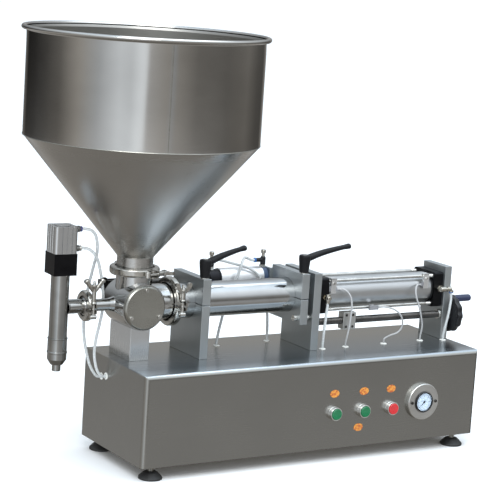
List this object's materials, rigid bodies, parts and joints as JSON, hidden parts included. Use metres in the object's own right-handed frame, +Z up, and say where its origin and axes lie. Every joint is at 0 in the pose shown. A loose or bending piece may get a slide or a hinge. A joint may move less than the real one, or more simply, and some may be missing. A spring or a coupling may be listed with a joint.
{
  "type": "piston liquid filler",
  "caption": "Bench-top pneumatic piston liquid filler with a conical hopper, a rotary valve, a tie-rod air cylinder, a handwheel for the stroke and a shut-off nozzle.",
  "frame": {"origin": "centre of the bounding box's bottom face: on the floor, in the vertical plane of the product axis", "axes": "+X along the product axis towards the handwheel, +Y to the rear, +Z up"},
  "size_m": [1.1198, 0.5094, 0.905],
  "materials": {
    "housing_steel": "brushed stainless sheet, warm grey",
    "hopper_steel": "spun and brushed stainless",
    "polished_steel": "polished stainless",
    "satin_steel": "turned satin stainless",
    "plate_steel": "milled satin plate",
    "clamp_cast": "investment-cast stainless, tumbled",
    "screw_steel": "bright stainless fasteners",
    "switch_steel": "pressed clips with grey sensors",
    "nut_steel": "milled block",
    "dark_steel": "blackened steel",
    "rod_chrome": "hard-chromed rod",
    "bezel_chrome": "chromed bezel",
    "fitting_nickel": "nickelled brass with blue release collars",
    "cylinder_aluminium": "anodised aluminium",
    "black_anodised": "black anodised aluminium",
    "black_enamel": "black enamel case with a pale dial",
    "gauge_glass": "flat window",
    "button_green": "dark green moulded cap",
    "button_red": "red moulded cap",
    "label_orange": "orange oval label, blank",
    "lever_black": "black moulded lever on a steel stud",
    "handwheel_black": "black moulded handwheel",
    "grip_blue_black": "blue-black turned grip",
    "rotor_plastic": "white food-grade plastic",
    "white_rubber": "white rubber",
    "black_rubber": "black seal rubber",
    "foot_rubber": "black pad with a steel stud",
    "valve_grey": "solenoid valves on a manifold",
    "air_line": "clear to white polyurethane tube",
    "cable_grey": "grey cable sheath"
  },
  "bodies": {
    "frame": {"housing": "housing_steel", "base_plate": "housing_steel", "levelling_feet": "foot_rubber", "panel_labels": "label_orange", "button_bezels": "bezel_chrome", "gauge_flange": "satin_steel", "gauge_case": "black_enamel", "gauge_glass": "gauge_glass", "valve_bank": "valve_grey", "deck_grommets": "white_rubber", "support_block": "polished_steel", "tube_clamp_plate": "plate_steel", "tube_end_plate": "plate_steel", "bulkhead_plate": "plate_steel", "tail_plate": "plate_steel", "cap_screws": "screw_steel", "hopper": "hopper_steel", "clamp_rings": "clamp_cast", "gaskets": "white_rubber", "swing_bolts": "screw_steel", "valve_body": "polished_steel", "valve_covers": "polished_steel", "outlet_pipe": "polished_steel", "nozzle_body": "polished_steel", "nozzle_sleeve": "polished_steel", "nozzle_tip": "polished_steel", "nozzle_spacer": "black_anodised", "nozzle_cylinder": "cylinder_aluminium", "product_tube": "polished_steel", "air_cylinder_caps": "black_anodised", "air_barrel": "cylinder_aluminium", "tie_rods": "screw_steel", "reed_switches": "switch_steel", "air_fittings": "fitting_nickel", "valve_actuator": "cylinder_aluminium", "actuator_bracket": "plate_steel", "nozzle_air_lines": "air_line", "actuator_air_lines": "air_line", "cylinder_air_lines": "air_line", "sensor_cables": "cable_grey"},
    "piston": {"product_piston": "rotor_plastic", "piston_seals": "black_rubber", "piston_rod": "rod_chrome"},
    "rotor": {"valve_rotor": "rotor_plastic", "crank_arm": "dark_steel"},
    "actuator_slide": {"actuator_rod": "dark_steel"},
    "plunger": {"nozzle_plunger": "polished_steel"},
    "screw": {"handwheel": "handwheel_black", "lead_screw": "dark_steel"},
    "grip": {"crank_grip": "grip_blue_black"},
    "nut_block": {"stroke_nut": "nut_steel"},
    "lever_left": {"clamp_lever_left": "lever_black"},
    "lever_right": {"clamp_lever_right": "lever_black"},
    "nut_hopper": {"hopper_wing_nut": "clamp_cast"},
    "nut_cylinder": {"cylinder_wing_nut": "clamp_cast"},
    "nut_outlet": {"outlet_wing_nut": "clamp_cast"},
    "button_left": {"green_button_left": "button_green"},
    "button_middle": {"green_button_right": "button_green"},
    "button_red": {"red_button": "button_red"},
    "needle": {"gauge_needle": "black_enamel"}
  },
  "joints": [
    {"name": "piston_slide", "type": "slide", "parent": "frame", "child": "piston", "axis": [1, 0, 0], "range_m": [0, 0.2]},
    {"name": "valve_turn", "type": "hinge", "parent": "frame", "child": "rotor", "pos_m": [-0.3051, 0, 0.338], "axis": [0, 1, 0], "range_deg": [0, 90]},
    {"name": "actuator_travel", "type": "slide", "parent": "frame", "child": "actuator_slide", "axis": [1, 0, 0], "range_m": [0, 0.05]},
    {"name": "nozzle_lift", "type": "slide", "parent": "frame", "child": "plunger", "axis": [0, 0, 1], "range_m": [0, 0.018]},
    {"name": "handwheel_turn", "type": "hinge", "parent": "frame", "child": "screw", "pos_m": [0.5, -0.036, 0.28], "axis": [1, 0, 0], "range_deg": [0, 9000]},
    {"name": "grip_spin", "type": "hinge", "parent": "screw", "child": "grip", "pos_m": [0.53, -0.036, 0.314], "axis": [1, 0, 0], "continuous": true},
    {"name": "nut_travel", "type": "slide", "parent": "frame", "child": "nut_block", "axis": [1, 0, 0], "range_m": [0, 0.1]},
    {"name": "lever_left_turn", "type": "hinge", "parent": "frame", "child": "lever_left", "pos_m": [-0.1656, -0.052, 0.42], "axis": [0, 0, 1], "range_deg": [0, 90]},
    {"name": "lever_right_turn", "type": "hinge", "parent": "frame", "child": "lever_right", "pos_m": [0.0844, -0.05, 0.42], "axis": [0, 0, 1], "range_deg": [0, 90]},
    {"name": "hopper_nut_turn", "type": "hinge", "parent": "frame", "child": "nut_hopper", "pos_m": [-0.28996, -0.05651, 0.409], "axis": [0.9659, 0.2588, 0], "continuous": true},
    {"name": "cylinder_nut_turn", "type": "hinge", "parent": "frame", "child": "nut_cylinder", "pos_m": [-0.2191, -0.0585, 0.37], "axis": [0, 0, 1], "continuous": true},
    {"name": "outlet_nut_turn", "type": "hinge", "parent": "frame", "child": "nut_outlet", "pos_m": [-0.4151, -0.03675, 0.37], "axis": [0, 0, 1], "continuous": true},
    {"name": "button_left_press", "type": "slide", "parent": "frame", "child": "button_left", "axis": [0, 1, 0], "range_m": [0, 0.004], "stiffness_N_per_m": 400},
    {"name": "button_middle_press", "type": "slide", "parent": "frame", "child": "button_middle", "axis": [0, 1, 0], "range_m": [0, 0.004], "stiffness_N_per_m": 400},
    {"name": "button_red_press", "type": "slide", "parent": "frame", "child": "button_red", "axis": [0, 1, 0], "range_m": [0, 0.004], "stiffness_N_per_m": 400},
    {"name": "needle_turn", "type": "hinge", "parent": "frame", "child": "needle", "pos_m": [0.3429, -0.178, 0.117], "axis": [0, 1, 0], "range_deg": [0, 270], "stiffness_Nm_per_rad": 0.002}
  ],
  "couplings": [
    {"joint": "actuator_travel", "follows": "valve_turn", "m_per_rad": 0.031831},
    {"joint": "nut_travel", "follows": "handwheel_turn", "m_per_rad": 0.00063662}
  ]
}
